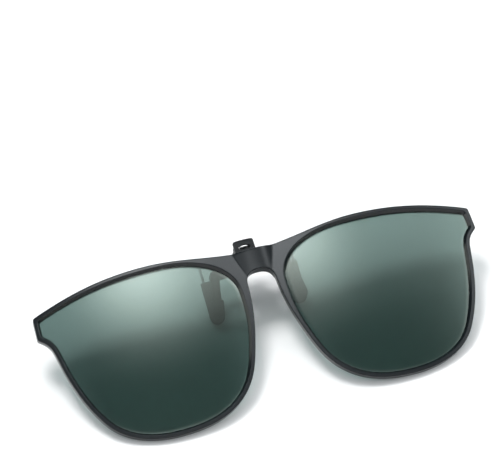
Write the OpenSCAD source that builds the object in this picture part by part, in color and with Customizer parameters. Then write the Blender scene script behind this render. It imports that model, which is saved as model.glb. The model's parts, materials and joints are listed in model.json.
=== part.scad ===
// Clip-on flip lenses: a moulded front with two tinted lenses hangs on a hinge behind its bridge.
// The hinge sits on a small spring clip that grips a pair of spectacles.
// The object is drawn as worn (x to the side, y to the back, z up) and then laid on its back.

/* [Front] */
// Width of the front from tip to tip
front_w = 148; // [142:1:154]
// Height from the bottom of the rims to the brow line
front_h = 56.5; // [55.5:0.5:60]
// Radius of the slight curve of the front, seen from above
front_r = 800; // [500:50:1600]
// Thickness of the rims, front to back
rim_t = 2.5; // [2.4:0.1:3.2]
// Width of the rims, from the outer edge to the edge of the lens
rim_w = 2; // [1.8:0.1:2.4]
// Width of the rim beside the nose gap
nose_rim_w = 3.3; // [3:0.1:3.8]
// Height of the tip ends
tip_h = 6.1; // [5:0.1:7]

/* [Outline points] */
// Distance from a tip's end in to the highest point of the brow line
brow_in = 38; // [34:0.5:42]
// Height of the lower corner of a tip
tip_low_z = 43.4; // [42.5:0.1:44]
// How far the upper corner of a tip stands in from the lower one
tip_rake = 0.5; // [0:0.1:1]
// Height of the hollow below a tip
waist_z = 37.8; // [36:0.1:38.5]
// Distance from a tip's end in to the hollow below it
waist_in = 4.1; // [3.5:0.1:5]
// Height of the middle of a rim's outer side
side_z = 27.6; // [25:0.1:30]
// Distance from a tip's end in to the middle of a rim's outer side
side_in = 5.8; // [5:0.1:7]
// Height of a rim's lower outer corner
low_z = 10.6; // [9:0.1:12]
// Distance from a tip's end in to a rim's lower outer corner
low_in = 12.6; // [11:0.1:14]
// Distance from a tip's end in to the lowest point of a rim
bottom_in = 35.5; // [33:0.5:38]
// Height of a rim's lower inner corner
nose_low_z = 7; // [5:0.5:9]
// Distance from the middle to a rim's lower inner corner
nose_low_x = 16.6; // [15:0.1:18]
// Height of the middle of a rim's nose side
nose_mid_z = 23.6; // [21:0.1:26]
// Distance from the middle to the middle of a rim's nose side
nose_mid_x = 8; // [7.5:0.1:9]
// Distance from the top of the arch down to where the lens comes closest to the nose
lens_nose_drop = 5.4; // [4:0.1:7]
// Distance from the middle to the round upper corner of a lens
lens_corner_x = 16.5; // [15:0.1:18]
// Distance from the brow line down to the round upper corner of a lens
lens_corner_drop = 5.2; // [4.6:0.1:5.8]

/* [Bridge] */
// Distance from the brow line down to the bridge's top edge
bridge_drop = 3.6; // [3:0.1:4.2]
// Height of the bridge in the middle
bridge_h = 7; // [6.4:0.1:7.6]
// Half width of the nose gap at the shoulder of the arch
arch_half_w = 4.7; // [4.4:0.1:5.2]
// Distance from the top of the arch down to its shoulder
arch_drop = 3.7; // [3:0.1:4.5]
// Thickness of the bridge, front to back, without its raised panel
bridge_t = 3.4; // [3.3:0.1:4]
// Width of the raised panel along the top edge
panel_top_w = 13.2; // [11:0.1:14]
// Width of the raised panel at the arch
panel_low_w = 8.4; // [7:0.1:9]
// Radius of the raised panel, seen from above
panel_r = 17; // [15:0.5:30]

/* [Lenses] */
// Thickness of a lens
lens_t = 0.8; // [0.6:0.05:0.9]
// Depth of a lens behind the front of its rim
lens_depth = 1.1; // [0.9:0.05:1.2]
// Width of the bevel that runs from the front of the rim down to the lens
bevel_w = 0.8; // [0.5:0.1:1]
// How far a lens reaches into the groove of its rim
lens_lap = 0.6; // [0.4:0.05:0.7]

/* [Flip hinge] */
// Width of the bracket on the back of the bridge
bracket_w = 12.6; // [12.2:0.1:13.4]
// Height of the bracket
bracket_h = 5; // [4.4:0.1:5.2]
// Thickness of the bracket's plate and ears
bracket_t = 1; // [0.8:0.1:1.2]
// Distance from the top edge of the bridge down to the top of the bracket
bracket_drop = 0.5; // [0.3:0.1:0.8]
// Distance from the back of the bridge to the hinge axis
flip_back = 3; // [2.9:0.1:3.4]
// Distance from the top edge of the bridge down to the hinge axis
flip_drop = 1.3; // [1.1:0.1:1.6]
// Width of the clip body's knuckle between the ears
knuckle_w = 5.4; // [4.8:0.1:5.6]
// Radius of the knuckle
knuckle_r = 1.6; // [1.4:0.05:1.7]
// Thickness of a friction washer
washer_t = 0.25; // [0.2:0.05:0.4]
// Radius of the hinge screw's shank
flip_screw_r = 0.7; // [0.6:0.05:0.8]
// Radius of a bracket screw's shank
bracket_screw_r = 0.55; // [0.45:0.05:0.6]
// Distance between the two bracket screws
bracket_screw_gap = 10.4; // [10.2:0.1:10.6]

/* [Clip] */
// Width of the clip body
body_w = 11.2; // [10.6:0.1:12.4]
// Thickness of the clip body, front to back
body_t = 3; // [2.8:0.1:3.2]
// Distance from the hinge axis back to the jaw axis
jaw_back = 5.2; // [5.1:0.1:5.6]
// Distance from the hinge axis up to the jaw axis
jaw_up = 5.5; // [5.3:0.1:6]
// Radius of the round ears at the jaw axis
jaw_end_r = 1.3; // [1.2:0.05:1.4]
// Radius of the jaw pin
jaw_pin_r = 0.6; // [0.5:0.05:0.7]
// Thickness of the jaw ears
jaw_ear_t = 0.8; // [0.7:0.05:0.85]
// Width of the thumb tab
tab_w = 6.9; // [6.6:0.1:8]
// Height of the thumb tab above the jaw axis
tab_h = 2.8; // [2.6:0.1:3.2]
// Thickness of the thumb tab
tab_t = 1.1; // [0.9:0.05:1.2]
// Width of the slot in the thumb tab
slot_w = 3.9; // [3.4:0.1:4.2]
// Height of the slot in the thumb tab
slot_h = 2; // [1.6:0.1:2.1]

/* [Legs and pads] */
// Angle of the legs to the front, leaning back towards their tips
leg_lean = 9.5; // [8:0.5:12]
// Angle at which the moulded legs spread
leg_splay = 10; // [8:0.5:12]
// Width of the moulded arms and legs
leg_w = 3; // [2.6:0.1:3.2]
// Thickness of the moulded legs
leg_t = 1.8; // [1.5:0.1:2]
// Thickness of the moulded arms
arm_t = 2.4; // [2:0.1:2.6]
// Distance from the middle to an elbow
elbow_x = 12; // [11.5:0.1:12.5]
// Length of a moulded leg from its elbow
leg_len = 13.4; // [12.5:0.1:14]
// Length of the rubber pad on a moulded leg
pad_len = 6.4; // [5:0.1:7]
// Width of the rubber pad on a moulded leg
pad_w = 4.4; // [4.2:0.1:4.8]
// Thickness of the rubber pad on a moulded leg
pad_t = 2.9; // [2.7:0.1:3.1]
// Distance from the middle to the middle of a rear sleeve
grip_x = 14; // [13.5:0.1:14.5]
// Radius of the steel wires
wire_r = 0.5; // [0.4:0.05:0.55]
// Radius of a wire's bend and of the loop at its end
loop_r = 1.3; // [1.1:0.05:1.4]
// Length of a wire leg from its bend to the end of its sleeve
wire_len = 18.6; // [17.5:0.1:19.5]
// Length of the rubber sleeve on a wire, without its round end
sleeve_len = 12.6; // [11:0.1:13.5]
// Width of the rubber sleeve
sleeve_w = 4.8; // [4.6:0.1:5.2]
// Thickness of the rubber sleeve
sleeve_t = 3.2; // [2.8:0.1:3.3]
// Gap between the closed pads
pad_gap = 0.3; // [0.2:0.05:0.5]

/* [Spring] */
// Radius of the spring wire
spring_wire_r = 0.22; // [0.18:0.01:0.25]
// Radius of the coil at the middle of its wire
coil_r = 1.05; // [1:0.01:1.1]
// Whole turns in the coil
coil_turns = 4; // [3:1:4]

/* [Fits] */
// Gap around a pin that turns in its bore
run_gap = 0.05; // [0.02:0.01:0.08]
// Gap around a piece that is pressed or glued in
seat_gap = 0.02; // [0.01:0.01:0.04]
// Gap beside a part that turns
side_gap = 0.2; // [0.15:0.01:0.25]

/* [Hidden] */
$fn = 48;
half_w = front_w / 2;
bridge_top = front_h - bridge_drop;
arch_top = bridge_top - bridge_h;
past = 1;

// Key points of the right half of the outline, clockwise from the middle of the bridge's top edge:
// x, z, heading on arrival, heading on leaving and how many steps the curve to the next point takes.
outline_keys = [
  [0, bridge_top, 0, 0, 1],
  [panel_top_w / 2, bridge_top, 0, 6, 8],
  [half_w - brow_in, front_h, 0, 0, 9],
  [half_w - tip_rake, tip_low_z + tip_h, -20, -85, 1],
  [half_w, tip_low_z, -85, -152, 6],
  [half_w - waist_in, waist_z, -100, -100, 4],
  [half_w - side_in, side_z, -104, -104, 6],
  [half_w - low_in, low_z, -121, -121, 9],
  [half_w - bottom_in, 0, 180, 180, 8],
  [nose_low_x, nose_low_z, 137, 137, 6],
  [nose_mid_x, nose_mid_z, 107, 107, 5],
  [arch_half_w, arch_top - arch_drop, 93, 93, 3],
  [arch_half_w * 0.64, arch_top - arch_drop * 0.16, 152, 152, 3],
  [0, arch_top, 180, 180, 1]
];
curve_handle = 0.36;
function unit(a) = [cos(a), sin(a)];
// A key point moved inwards by d, square to the outline, or along the mitre of a corner
function inset(k, d) =
  let (a = unit(k[2] - 90), b = unit(k[3] - 90), m = d / (1 + a * b) * (a + b))
  [k[0] + m[0], k[1] + m[1], k[2], k[3], k[4]];
// Cubic curve between two key points, without its end
function curve(a, b) =
  let (
    p = [a[0], a[1]], s = [b[0], b[1]], c = curve_handle * norm(s - p),
    q = p + c * unit(a[3]), r = s - c * unit(b[2])
  )
  [for (i = [0:a[4] - 1]) let (t = i / a[4], u = 1 - t)
    u * u * u * p + 3 * u * u * t * q + 3 * u * t * t * r + t * t * t * s];
function path(keys) = [for (i = [0:len(keys) - 2]) each curve(keys[i], keys[i + 1])];
// A closed path grown outwards by d, each point along its own normal
function grow(pts, d) =
  let (n = len(pts))
  [for (i = [0:n - 1]) let (t = pts[(i + 1) % n] - pts[(i + n - 1) % n])
    pts[i] + d * [-t[1], t[0]] / norm(t)];
// Distance that the front's surface lies behind its middle
function sag(x) = front_r - sqrt(front_r * front_r - x * x);

right_half = concat(path(outline_keys), [[0, arch_top]]);
outline = concat(right_half, [for (i = [len(right_half) - 2:-1:1]) [-right_half[i][0], right_half[i][1]]]);
rim_keys = [for (i = [2:10]) inset(outline_keys[i], rim_w)];
lens_keys = concat(rim_keys, [
  [arch_half_w + nose_rim_w, arch_top - lens_nose_drop, 88, 88, 5],
  [lens_corner_x, front_h - lens_corner_drop, 25, 25, 5],
  rim_keys[0]
]);
lens_edge = path(lens_keys);
lens_mid = [for (p = lens_edge) 1] * lens_edge / len(lens_edge);
bevel_past = 0.5;
groove_gap = 0.03;

// Hinge and jaw axes
flip_y = bridge_t + flip_back;
flip_z = bridge_top - flip_drop;
jaw_y = flip_y + jaw_back;
jaw_z = flip_z + jaw_up;
ear_in = knuckle_w / 2 + washer_t + 2 * seat_gap;
ear_out = ear_in + bracket_t;
ear_r = flip_screw_r + 1;
plate_top = bridge_top - bracket_drop;
screw_z = plate_top - bracket_h / 2 - 0.4;
screw_deep = 2;
screw_head_r = 0.95;
screw_head_t = 0.6;
drive_w = 0.3;
drive_deep = 0.25;
nut_r = 1.4;
nut_t = 0.9;

// Clip body. Everything on the jaw axis is narrower than the thumb tab in front of it.
body_front = jaw_y - 1.8;
body_back = body_front + body_t;
body_top = flip_z + knuckle_r + side_gap;
body_low = body_top - 4.5;
lever_out = tab_w / 2 - 0.15;
lever_in = lever_out - jaw_ear_t;
jaw_ear_out = lever_in - side_gap;
jaw_ear_in = jaw_ear_out - jaw_ear_t;
coil_half_w = jaw_ear_in - side_gap;
ear_neck = jaw_end_r - 0.5;

// Legs: the wires leave the lever behind the jaw axis, and the moulded legs lie in front of them
tab_back = jaw_y - jaw_end_r - side_gap;
tab_front = tab_back - tab_t;
tab_top = jaw_z + tab_h;
tab_low = jaw_z - 1;
block_front = jaw_y + jaw_end_r + side_gap;
wire_y = block_front + wire_r + 0.3;
wire_z = jaw_z - 0.6;
block_back = wire_y + wire_r + 0.3;
block_top = jaw_z + coil_r - spring_wire_r - seat_gap;
block_low = wire_z - wire_r - 0.5;
jaw_offset = sleeve_t / 2 + pad_gap + pad_t / 2;
arm_z = body_top - 2.5;
arm_y = wire_y + (wire_z - arm_z) * tan(leg_lean) - jaw_offset / cos(leg_lean);
wire_x = grip_x + loop_r;

// Lying on its back, the object touches the table with the lower rims and the round ends of the
// rear sleeves. The slope of the front follows from those two contacts.
end_y = wire_y + wire_len * sin(leg_lean);
end_z = wire_z - wire_len * cos(leg_lean);
end_r = sleeve_t / 2;
low_edge = [for (p = right_half) if (p[1] < front_h / 4) [sag(p[0]) + rim_t, p[1]]];
slope = min([for (b = low_edge) let (d = [end_y, end_z] - b) atan2(d[0], d[1]) + asin(end_r / norm(d))]);
recline = 90 - slope;
lift = -min([for (b = low_edge) b[1] * cos(recline) - b[0] * sin(recline)]);
low_y = min([for (p = right_half) p[1] * sin(recline) + sag(p[0]) * cos(recline)]);
high_y = tab_top * sin(recline) + tab_back * cos(recline);

// Moves a piece from its worn place to where it lies on the table
module laid() {
  translate([0, -(low_y + high_y) / 2, lift]) rotate([-recline, 0, 0]) children();
}
// The piece itself on the right, or its mirror image on the left
module on_side(side) {
  mirror([side < 0 ? 1 : 0, 0, 0]) children();
}
// An outline in x and z, carried from y0 to y1
module prism(pts, y0, y1) {
  translate([0, y1, 0]) rotate([90, 0, 0]) linear_extrude(y1 - y0) polygon(pts);
}
// A layer that follows the curve of the front, from depth d0 to depth d1
module layer(d0, d1) {
  reach = half_w + past;
  steps = 36;
  xs = [for (i = [0:steps]) -reach + 2 * reach * i / steps];
  translate([0, 0, -past]) linear_extrude(front_h + 2 * past)
    polygon(concat([for (x = xs) [x, sag(x) + d0]], [for (i = [steps:-1:0]) [xs[i], sag(xs[i]) + d1]]));
}
// A cylinder along x from x0 to x1
module rod(r, x0, x1, y, z) {
  translate([x0, y, z]) rotate([0, 90, 0]) cylinder(r = r, h = x1 - x0);
}
// A block between two corners
module block(low, high) {
  translate(low) cube(high - low);
}

// The opening of a rim: a bevel down to the lens, then straight through
module rim_opening() {
  n = len(lens_edge);
  rings = [
    [grow(lens_edge, bevel_w * (1 + bevel_past)), -lens_depth * bevel_past],
    [lens_edge, lens_depth],
    [lens_edge, rim_t + past]
  ];
  pts = [for (r = rings) each [for (p = r[0]) [p[0], sag(p[0]) + r[1], p[1]]]];
  caps = [for (r = [rings[0], rings[2]]) [lens_mid[0], sag(lens_mid[0]) + r[1], lens_mid[1]]];
  walls = [for (k = [0:1], i = [0:n - 1]) let (j = (i + 1) % n, a = k * n, b = a + n)
    each [[a + i, b + i, a + j], [a + j, b + i, b + j]]];
  front_cap = [for (i = [0:n - 1]) [3 * n, i, (i + 1) % n]];
  back_cap = [for (i = [0:n - 1]) [3 * n + 1, 2 * n + (i + 1) % n, 2 * n + i]];
  polyhedron(concat(pts, caps), concat(walls, front_cap, back_cap));
}
// A lens, or the groove that it sits in when gap is more than 0
module lens_blank(gap) {
  intersection() {
    prism(grow(lens_edge, lens_lap + gap), 0, sag(half_w) + rim_t);
    layer(lens_depth - gap, lens_depth + lens_t + gap);
  }
}
// The raised keystone panel: a cylinder that leans forward, so that it is wider at the top
module bridge_panel() {
  rise_top = pow(panel_top_w / 2, 2) / (2 * panel_r);
  rise_low = pow(panel_low_w / 2, 2) / (2 * panel_r);
  tilt = atan((rise_top - rise_low) / (bridge_top - arch_top));
  intersection() {
    prism(outline, -rise_top - past, rim_t);
    translate([0, panel_r - rise_top, bridge_top]) rotate([tilt, 0, 0])
      cylinder(r = panel_r, h = 2 * front_h, center = true, $fn = 120);
  }
}
module front_frame() {
  laid() color("#46494d") difference() {
    union() {
      intersection() {
        prism(outline, -past, sag(half_w) + rim_t + past);
        layer(0, rim_t);
      }
      bridge_panel();
      intersection() {
        prism(outline, rim_t / 2, bridge_t);
        block([-bracket_w / 2 - 0.6, 0, arch_top - arch_drop], [bracket_w / 2 + 0.6, bridge_t, front_h]);
      }
    }
    for (side = [-1, 1]) {
      on_side(side) rim_opening();
      on_side(side) lens_blank(groove_gap);
      screw_at(side, bridge_t - screw_deep - seat_gap, bridge_t + past, bracket_screw_r + seat_gap);
    }
  }
}
module lens(side) {
  laid() color("#2f4a45") on_side(side) lens_blank(0);
}
module lens_left() { lens(-1); }
module lens_right() { lens(1); }

// A shaft along y at the place of a bracket screw
module screw_at(side, y0, y1, r) {
  translate([side * bracket_screw_gap / 2, y1, screw_z]) rotate([90, 0, 0]) cylinder(r = r, h = y1 - y0);
}
module hinge_bracket() {
  back = bridge_t + bracket_t;
  laid() color("#222325") difference() {
    union() {
      block([-bracket_w / 2, bridge_t, plate_top - bracket_h], [bracket_w / 2, back, plate_top]);
      for (side = [-1, 1]) on_side(side) {
        rod(ear_r, ear_in, ear_out, flip_y, flip_z);
        block([ear_in, bridge_t, flip_z - ear_r], [ear_out, flip_y, min(plate_top, flip_z + ear_r)]);
      }
    }
    rod(flip_screw_r + seat_gap, -half_w, half_w, flip_y, flip_z);
    for (side = [-1, 1]) screw_at(side, bridge_t - past, back + past, bracket_screw_r + seat_gap);
  }
}
module bracket_screw(side) {
  seat = bridge_t + bracket_t;
  x = side * bracket_screw_gap / 2;
  laid() color("#8d8f92") difference() {
    union() {
      screw_at(side, bridge_t - screw_deep, seat + screw_head_t, bracket_screw_r);
      screw_at(side, seat, seat + screw_head_t, screw_head_r);
    }
    block([x - past, seat + screw_head_t - drive_deep, screw_z - drive_w / 2],
      [x + past, seat + screw_head_t + past, screw_z + drive_w / 2]);
  }
}
module bracket_screw_left() { bracket_screw(-1); }
module bracket_screw_right() { bracket_screw(1); }
module flip_screw() {
  head_x = -ear_out - screw_head_t;
  laid() color("#8d8f92") difference() {
    union() {
      rod(flip_screw_r, head_x, ear_out + nut_t + 0.2, flip_y, flip_z);
      rod(flip_screw_r + 0.6, head_x, -ear_out, flip_y, flip_z);
    }
    block([head_x - past, flip_y - drive_w / 2, flip_z - ear_r],
      [head_x + drive_deep, flip_y + drive_w / 2, flip_z + ear_r]);
  }
}
module flip_nut() {
  laid() color("#8d8f92") difference() {
    translate([ear_out, flip_y, flip_z]) rotate([0, 90, 0]) cylinder(r = nut_r, h = nut_t, $fn = 6);
    rod(flip_screw_r + seat_gap, 0, half_w, flip_y, flip_z);
  }
}
module washer(side) {
  laid() color("#d8d6cf") on_side(side) difference() {
    rod(knuckle_r, ear_in - washer_t, ear_in, flip_y, flip_z);
    rod(flip_screw_r + seat_gap, 0, half_w, flip_y, flip_z);
  }
}
module washer_left() { washer(-1); }
module washer_right() { washer(1); }

// Places children at an elbow of the clip body, with the moulded leg running down its own -z
module at_elbow() {
  translate([elbow_x, arm_y, arm_z]) rotate([leg_lean, 0, 0]) rotate([0, -leg_splay, 0]) children();
}
// Places children behind a wire's bend, with the sleeve running down its own -z
module at_grip() {
  translate([grip_x, wire_y, wire_z]) rotate([leg_lean, 0, 0]) children();
}
// A flat rubber pad around a leg, from depth top to depth end: its sides and its lower end are round
module rubber_pad(top, end, w, t) {
  side_x = (w - t) / 2;
  low = end - side_x;
  translate([0, 0, -low]) {
    linear_extrude(low - top) {
      for (x = [-side_x, side_x]) translate([x, 0]) circle(r = t / 2);
      square([2 * side_x, t], center = true);
    }
    rotate([90, 0, 0]) rotate_extrude(angle = -180) intersection() {
      union() {
        translate([side_x, 0]) circle(r = t / 2);
        translate([0, -t / 2]) square([side_x, t]);
      }
      translate([0, -t]) square([w, 2 * t]);
    }
  }
}
module clip_body() {
  laid() color("#2a2b2d") difference() {
    union() {
      rod(knuckle_r, -knuckle_w / 2, knuckle_w / 2, flip_y, flip_z);
      block([-knuckle_w / 2, flip_y, flip_z - knuckle_r],
        [knuckle_w / 2, body_front + past, flip_z + knuckle_r / 2]);
      block([-body_w / 2, body_front, body_low], [body_w / 2, body_back, body_top]);
      for (side = [-1, 1]) on_side(side) {
        rod(jaw_end_r, jaw_ear_in, jaw_ear_out, jaw_y, jaw_z);
        block([jaw_ear_in, jaw_y - ear_neck, body_top - past], [jaw_ear_out, jaw_y + ear_neck, jaw_z]);
        block([0, arm_y - arm_t / 2, arm_z - leg_w / 2], [elbow_x, arm_y + arm_t / 2, arm_z + leg_w / 2]);
        translate([elbow_x, arm_y + arm_t / 2, arm_z]) rotate([90, 0, 0]) cylinder(r = leg_w / 2, h = arm_t);
        at_elbow() block([-leg_w / 2, -leg_t / 2, -leg_len], [leg_w / 2, leg_t / 2, 0]);
      }
    }
    rod(flip_screw_r + run_gap, -half_w, half_w, flip_y, flip_z);
    rod(jaw_pin_r + run_gap, -half_w, half_w, jaw_y, jaw_z);
    spring_rest();
  }
}
// The recess in the clip body's upper front edge that the spring's lower leg pushes against
module spring_rest() {
  block([-coil_half_w - side_gap, body_front - past, body_top - 1.6],
    [coil_half_w + side_gap, jaw_y - coil_r + spring_wire_r + seat_gap, body_top + past]);
}
module jaw_pin() {
  laid() color("#9a9c9f") rod(jaw_pin_r, -lever_out, lever_out, jaw_y, jaw_z);
}
module front_pad(side) {
  end = leg_len + 1;
  laid() color("#3a3b3b") on_side(side) at_elbow() difference() {
    rubber_pad(end - pad_len, end - pad_t / 2, pad_w, pad_t);
    block([-leg_w / 2 - seat_gap, -leg_t / 2 - seat_gap, -leg_len - seat_gap],
      [leg_w / 2 + seat_gap, leg_t / 2 + seat_gap, 0]);
  }
}
module front_pad_left() { front_pad(-1); }
module front_pad_right() { front_pad(1); }

module thumb_lever() {
  corner_r = 0.9;
  slot_top = tab_top - 1.2;
  laid() color("#2a2c30") difference() {
    union() {
      // tab with round upper corners
      block([-tab_w / 2, tab_front, tab_low], [tab_w / 2, tab_back, tab_top - corner_r]);
      block([-tab_w / 2 + corner_r, tab_front, tab_low], [tab_w / 2 - corner_r, tab_back, tab_top]);
      for (side = [-1, 1]) on_side(side) {
        translate([tab_w / 2 - corner_r, tab_back, tab_top - corner_r]) rotate([90, 0, 0])
          cylinder(r = corner_r, h = tab_t);
        // cheeks that carry the tab past the clip body's ears
        rod(jaw_end_r, lever_in, lever_out, jaw_y, jaw_z);
        block([lever_in, tab_front, tab_low], [lever_out, jaw_y, jaw_z + 1]);
        block([lever_in, jaw_y, block_low], [lever_out, block_back, jaw_z + 0.4]);
      }
      // block behind the ears that the wires sit in
      block([-lever_out, block_front, block_low], [lever_out, block_back, block_top]);
    }
    rod(jaw_pin_r + seat_gap, -half_w, half_w, jaw_y, jaw_z);
    block([-slot_w / 2, tab_front - past, slot_top - slot_h], [slot_w / 2, tab_back + past, slot_top]);
    for (side = [-1, 1]) on_side(side)
      rod(wire_r + seat_gap, 0.5, half_w, wire_y, wire_z);
  }
}
// A wire: straight out of the lever's block, round a bend and down, then round a loop and up again
module rear_wire(side) {
  low = wire_len - (sleeve_w - sleeve_t) / 2;
  laid() color("#b4b6b8") on_side(side) {
    rod(wire_r, 0.5 + seat_gap, wire_x - loop_r, wire_y, wire_z);
    at_grip() {
      translate([0, 0, -loop_r]) rotate([90, 0, 0])
        rotate_extrude(angle = 90) translate([loop_r, 0]) circle(r = wire_r);
      translate([loop_r, 0, -low]) cylinder(r = wire_r, h = low - loop_r);
      translate([0, 0, -low]) rotate([90, 0, 0])
        rotate_extrude(angle = -180) translate([loop_r, 0]) circle(r = wire_r);
      translate([-loop_r, 0, -low]) cylinder(r = wire_r, h = sleeve_len - 2);
    }
  }
}
module rear_wire_left() { rear_wire(-1); }
module rear_wire_right() { rear_wire(1); }
module rear_sleeve(side) {
  low = wire_len - (sleeve_w - sleeve_t) / 2;
  r = wire_r + seat_gap;
  laid() color("#3a3b3b") on_side(side) at_grip() difference() {
    rubber_pad(wire_len - sleeve_len, wire_len, sleeve_w, sleeve_t);
    // flat pocket with a round end that the wire's loop slides into
    block([-loop_r - r, -r, -low], [loop_r + r, r, 0]);
    translate([0, r, -low]) rotate([90, 0, 0]) cylinder(r = loop_r + r, h = 2 * r);
  }
}
module rear_sleeve_left() { rear_sleeve(-1); }
module rear_sleeve_right() { rear_sleeve(1); }

// Torsion spring: a coil around the jaw pin. Its lower leg pushes back on the clip body and its
// upper leg lies on the lever's block and pushes it down, which closes the jaw.
module torsion_spring() {
  sides = 8;
  turn_steps = 18;
  last = 360 * coil_turns + 90;
  coil_x = coil_half_w - spring_wire_r;
  low_leg = jaw_z - body_top + 1.2;
  back_leg = block_back - jaw_y - 0.3;
  steps = coil_turns * turn_steps;
  coil = [for (i = [0:steps]) let (a = last * i / steps)
    [-coil_x + 2 * coil_x * i / steps, jaw_y - coil_r * cos(a), jaw_z + coil_r * sin(a)]];
  line = concat(
    [coil[0] - [0, 0, low_leg]], coil, [coil[steps] + [0, back_leg, 0]]
  );
  n = len(line);
  // each ring stands square to the line, with one axis kept as near to x as the line allows
  rings = [for (i = [0:n - 1]) let (
    t = line[min(i + 1, n - 1)] - line[max(i - 1, 0)], u = t / norm(t),
    v = [1, 0, 0] - u[0] * u, e = v / norm(v), f = cross(u, e)
  ) for (k = [0:sides - 1]) line[i] + spring_wire_r * (cos(360 * k / sides) * e + sin(360 * k / sides) * f)];
  walls = [for (i = [0:n - 2], k = [0:sides - 1]) let (m = (k + 1) % sides, a = i * sides, b = a + sides)
    each [[a + k, a + m, b + k], [a + m, b + m, b + k]]];
  start_cap = [[for (k = [sides - 1:-1:0]) k]];
  end_cap = [[for (k = [0:sides - 1]) (n - 1) * sides + k]];
  laid() color("#c2c4c6") polyhedron(rings, concat(walls, start_cap, end_cap));
}

front_frame();
lens_left();
lens_right();
hinge_bracket();
bracket_screw_left();
bracket_screw_right();
flip_screw();
flip_nut();
washer_left();
washer_right();
clip_body();
jaw_pin();
front_pad_left();
front_pad_right();
thumb_lever();
rear_wire_left();
rear_wire_right();
rear_sleeve_left();
rear_sleeve_right();
torsion_spring();
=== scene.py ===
import json
import math

import bmesh
import bpy
import numpy as np
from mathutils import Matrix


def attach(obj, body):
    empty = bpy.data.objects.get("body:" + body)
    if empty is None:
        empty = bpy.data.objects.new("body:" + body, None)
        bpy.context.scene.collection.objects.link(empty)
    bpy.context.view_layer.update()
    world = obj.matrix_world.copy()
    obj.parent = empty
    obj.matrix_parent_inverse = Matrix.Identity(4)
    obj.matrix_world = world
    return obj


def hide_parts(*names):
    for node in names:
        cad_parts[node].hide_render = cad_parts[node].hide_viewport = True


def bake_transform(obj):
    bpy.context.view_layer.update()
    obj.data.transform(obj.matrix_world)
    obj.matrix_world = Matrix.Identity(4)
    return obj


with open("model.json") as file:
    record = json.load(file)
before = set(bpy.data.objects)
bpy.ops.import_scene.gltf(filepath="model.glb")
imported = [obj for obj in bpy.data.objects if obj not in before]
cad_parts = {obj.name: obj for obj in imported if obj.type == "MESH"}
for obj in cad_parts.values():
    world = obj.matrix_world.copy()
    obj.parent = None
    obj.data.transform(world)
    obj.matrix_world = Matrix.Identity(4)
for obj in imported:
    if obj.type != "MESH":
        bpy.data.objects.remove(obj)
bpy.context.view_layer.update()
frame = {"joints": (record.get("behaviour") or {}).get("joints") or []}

# Front frame. The piece that shows: two rims and a bridge with a raised keystone panel, moulded in one
# from charcoal nylon. The mould leaves a satin grain, and every edge comes out slightly rounded.
# Sizes are in millimetres as worn: x to the side, y to the back, z up.
front_r = 800
rim_t = 2.5
rim_w = 2
bevel_w = 0.8
lens_depth = 1.1
bridge_top = 52.9
bridge_t = 3.4
panel_r = 17
panel_rise = 1.281
panel_tilt = math.radians(6.21)
front_round = 0.32
back_round = 0.3
corner_spread = 0.42
brink_round = 0.14
back_pad_half_w, back_pad_low = 7.3, 41.9
back_pad_run_x, back_pad_run_z = 0.9, 1.5
handle_share = 0.36
panel_low_z = 40
lens_top_x, lens_top_z = 14, 46
lens_nose_x, lens_nose_z = 12, 43
station_step = 0.4
worn_axes = {"flip": np.array([6.4, 51.6]), "jaw": np.array([11.6, 57.1])}
table_axes = {joint["name"]: np.array(joint["pos_m"][1:]) for joint in frame["joints"]}
# Key points of the right half: x, z, heading on arrival and heading on leaving, in degrees
outline_keys = [
    (0, 52.9, 0, 0), (6.6, 52.9, 0, 6), (36, 56.5, 0, 0), (73.5, 49.5, -20, -85), (73.9, 42.2, -87, -147),
    (70.1, 37.2, -102, -102), (68.2, 27.6, -104, -104), (61.4, 10.6, -121, -121), (38.5, 0, 180, 180),
    (16.6, 7, 137, 137), (8, 23.6, 107, 107), (4.7, 42.2, 93, 93), (3.008, 45.308, 152, 152),
    (0, 45.9, 180, 180),
]
lens_corner_keys = [(8, 40.5, 88, 88), (16.5, 51.3, 25, 25)]


def laid(points):
    """Where worn points in mm lie on the table, in metres: the slope between the two hinge axes as
    packed, less their slope as worn, is the turn about x, and the flip axis fixes the place."""
    worn, table = (axes["jaw"] - axes["flip"] for axes in (worn_axes, table_axes))
    turn = math.atan2(table[1], table[0]) - math.atan2(worn[1], worn[0])
    y, z = points[..., 1] - worn_axes["flip"][0], points[..., 2] - worn_axes["flip"][1]
    back = y * math.cos(turn) - z * math.sin(turn)
    up = y * math.sin(turn) + z * math.cos(turn)
    place = np.stack([points[..., 0], back, up], -1) / 1000
    return place + np.array([0, *table_axes["flip"]])


def heading(degrees):
    """Unit step in the x, z plane, as a complex number x + iz, for a heading in degrees."""
    return np.exp(1j * np.radians(degrees))


def inset_key(key, depth):
    """A key point moved inwards, to the right of its heading, along the mitre of its two headings."""
    a, b = heading(key[2] - 90), heading(key[3] - 90)
    move = depth * (a + b) / (1 + (a * b.conjugate()).real)
    return (key[0] + move.real, key[1] + move.imag, key[2], key[3])


def run_through(keys, step=0.05):
    """Cubic curves through key points, with handles of a set share of each chord along the headings. Gives
    the points as complex numbers, the length along them, and the length at which each key stands."""
    spans = []
    for a, b in zip(keys[:-1], keys[1:]):
        p, s = complex(*a[:2]), complex(*b[:2])
        handle = handle_share * abs(s - p)
        q, r = p + handle * heading(a[3]), s - handle * heading(b[2])
        count = math.ceil(abs(s - p) / step)
        t = np.arange(count) / count
        spans.append(p * (1 - t) ** 3 + 3 * q * t * (1 - t) ** 2 + 3 * r * t**2 * (1 - t) + s * t**3)
    line = np.append(np.concatenate(spans), complex(*keys[-1][:2]))
    length = np.append(0, np.cumsum(np.abs(np.diff(line))))
    return line, length, length[np.append(0, np.cumsum([len(span) for span in spans]))]


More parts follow.
